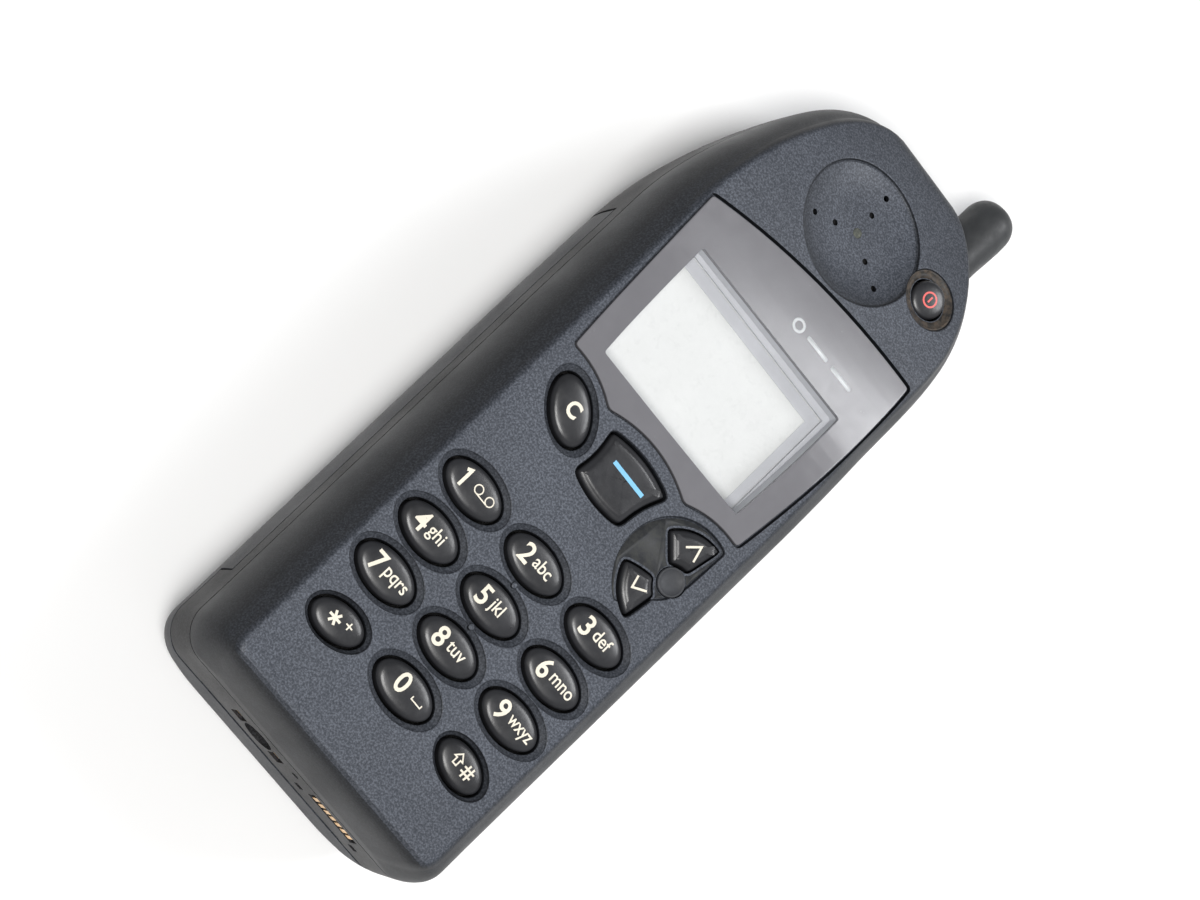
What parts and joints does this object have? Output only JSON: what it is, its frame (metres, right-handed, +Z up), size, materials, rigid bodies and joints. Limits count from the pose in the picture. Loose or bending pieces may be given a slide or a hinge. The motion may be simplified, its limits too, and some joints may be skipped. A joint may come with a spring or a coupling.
{
  "type": "mobile phone",
  "caption": "Early hand-held mobile phone with a stub antenna, oval keys, a grey display window, an earpiece dish and a battery that swings off the back.",
  "frame": {"origin": "on the floor under the middle of the overall box, with the phone lying on its back", "axes": "+X to the right across the face, +Y along the phone toward the antenna, +Z up out of the face"},
  "size_m": [0.0475, 0.132, 0.031],
  "materials": {
    "cover_plastic": "fine metallic speckle, satin",
    "rear_plastic": "fine texture, satin",
    "key_rubber": "hard glossy cap over rubber",
    "window_plastic": "clear window with a grey mask behind it",
    "display_glass": "pale display glass",
    "frame_plastic": "white moulding",
    "light_guide_plastic": "frosted clear plastic",
    "web_rubber": "silicone",
    "dome_film": "printed film with pressed domes",
    "board_laminate": "green solder mask",
    "shield_steel": "tinned",
    "contact_gold": "gold plated",
    "stud_brass": "plain",
    "connector_plastic": "black moulding",
    "antenna_rubber": "matte overmould",
    "gasket_foam": "open foam",
    "earpiece_cloth": "fine dust cloth",
    "card_plastic": "plain white card",
    "cell_sleeve": "shrink sleeve"
  },
  "bodies": {
    "chassis": {"rear_housing": "rear_plastic", "main_board": "board_laminate", "lcd_frame": "frame_plastic", "lcd_glass": "display_glass", "light_guide": "light_guide_plastic", "earpiece_speaker": "shield_steel", "earpiece_gasket": "gasket_foam", "dome_sheet": "dome_film", "keypad_web": "web_rubber", "rf_shield": "shield_steel", "baseband_shield": "shield_steel", "power_board": "board_laminate", "system_connector": "connector_plastic", "connector_contacts": "contact_gold", "charge_contact_left": "contact_gold", "charge_contact_right": "contact_gold", "dc_jack": "connector_plastic", "microphone": "shield_steel", "buzzer": "connector_plastic", "sim_holder": "shield_steel", "backup_cell": "shield_steel", "battery_terminals": "contact_gold", "antenna_stub": "antenna_rubber", "antenna_stud": "stud_brass", "test_socket_plug": "antenna_rubber", "screw_1": "shield_steel", "screw_2": "shield_steel", "screw_3": "shield_steel", "screw_4": "shield_steel"},
    "cover": {"front_cover": "cover_plastic", "display_window": "window_plastic", "earpiece_mesh": "earpiece_cloth"},
    "key_1_body": {"key_1": "key_rubber"},
    "key_2_body": {"key_2": "key_rubber"},
    "key_3_body": {"key_3": "key_rubber"},
    "key_4_body": {"key_4": "key_rubber"},
    "key_5_body": {"key_5": "key_rubber"},
    "key_6_body": {"key_6": "key_rubber"},
    "key_7_body": {"key_7": "key_rubber"},
    "key_8_body": {"key_8": "key_rubber"},
    "key_9_body": {"key_9": "key_rubber"},
    "key_star_body": {"key_star": "key_rubber"},
    "key_0_body": {"key_0": "key_rubber"},
    "key_hash_body": {"key_hash": "key_rubber"},
    "key_clear_body": {"key_clear": "key_rubber"},
    "key_menu_body": {"key_menu": "key_rubber"},
    "key_up_body": {"key_up": "key_rubber"},
    "key_down_body": {"key_down": "key_rubber"},
    "key_power_body": {"key_power": "key_rubber"},
    "battery": {"battery_case": "rear_plastic", "battery_lid": "rear_plastic", "battery_cell_1": "cell_sleeve", "battery_cell_2": "cell_sleeve", "battery_cell_3": "cell_sleeve", "battery_contacts": "contact_gold"},
    "latch": {"battery_latch": "rear_plastic"},
    "sim": {"sim_card": "card_plastic"}
  },
  "joints": [
    {"name": "cover_lift", "type": "slide", "parent": "chassis", "child": "cover", "axis": [0, 0, 1], "range_m": [0, 0.015]},
    {"name": "key_1_press", "type": "slide", "parent": "chassis", "child": "key_1_body", "axis": [0, 0, -1], "range_m": [0, 0.0007], "stiffness_N_per_m": 800},
    {"name": "key_2_press", "type": "slide", "parent": "chassis", "child": "key_2_body", "axis": [0, 0, -1], "range_m": [0, 0.0007], "stiffness_N_per_m": 800},
    {"name": "key_3_press", "type": "slide", "parent": "chassis", "child": "key_3_body", "axis": [0, 0, -1], "range_m": [0, 0.0007], "stiffness_N_per_m": 800},
    {"name": "key_4_press", "type": "slide", "parent": "chassis", "child": "key_4_body", "axis": [0, 0, -1], "range_m": [0, 0.0007], "stiffness_N_per_m": 800},
    {"name": "key_5_press", "type": "slide", "parent": "chassis", "child": "key_5_body", "axis": [0, 0, -1], "range_m": [0, 0.0007], "stiffness_N_per_m": 800},
    {"name": "key_6_press", "type": "slide", "parent": "chassis", "child": "key_6_body", "axis": [0, 0, -1], "range_m": [0, 0.0007], "stiffness_N_per_m": 800},
    {"name": "key_7_press", "type": "slide", "parent": "chassis", "child": "key_7_body", "axis": [0, 0, -1], "range_m": [0, 0.0007], "stiffness_N_per_m": 800},
    {"name": "key_8_press", "type": "slide", "parent": "chassis", "child": "key_8_body", "axis": [0, 0, -1], "range_m": [0, 0.0007], "stiffness_N_per_m": 800},
    {"name": "key_9_press", "type": "slide", "parent": "chassis", "child": "key_9_body", "axis": [0, 0, -1], "range_m": [0, 0.0007], "stiffness_N_per_m": 800},
    {"name": "key_star_press", "type": "slide", "parent": "chassis", "child": "key_star_body", "axis": [0, 0, -1], "range_m": [0, 0.0007], "stiffness_N_per_m": 800},
    {"name": "key_0_press", "type": "slide", "parent": "chassis", "child": "key_0_body", "axis": [0, 0, -1], "range_m": [0, 0.0007], "stiffness_N_per_m": 800},
    {"name": "key_hash_press", "type": "slide", "parent": "chassis", "child": "key_hash_body", "axis": [0, 0, -1], "range_m": [0, 0.0007], "stiffness_N_per_m": 800},
    {"name": "key_clear_press", "type": "slide", "parent": "chassis", "child": "key_clear_body", "axis": [0, 0, -1], "range_m": [0, 0.0007], "stiffness_N_per_m": 800},
    {"name": "key_menu_press", "type": "slide", "parent": "chassis", "child": "key_menu_body", "axis": [0, 0, -1], "range_m": [0, 0.0007], "stiffness_N_per_m": 800},
    {"name": "key_up_press", "type": "slide", "parent": "chassis", "child": "key_up_body", "axis": [0, 0, -1], "range_m": [0, 0.0007], "stiffness_N_per_m": 800},
    {"name": "key_down_press", "type": "slide", "parent": "chassis", "child": "key_down_body", "axis": [0, 0, -1], "range_m": [0, 0.0007], "stiffness_N_per_m": 800},
    {"name": "key_power_press", "type": "slide", "parent": "chassis", "child": "key_power_body", "axis": [0, 0, -1], "range_m": [0, 0.0007], "stiffness_N_per_m": 800},
    {"name": "battery_swing", "type": "hinge", "parent": "chassis", "child": "battery", "pos_m": [0, -0.065, 0.01045], "axis": [-1, 0, 0], "range_deg": [0, 35]},
    {"name": "latch_slide", "type": "slide", "parent": "chassis", "child": "latch", "axis": [0, 1, 0], "range_m": [0, 0.002], "stiffness_N_per_m": 300},
    {"name": "sim_slide", "type": "slide", "parent": "chassis", "child": "sim", "axis": [0, -1, 0], "range_m": [0, 0.014]}
  ]
}
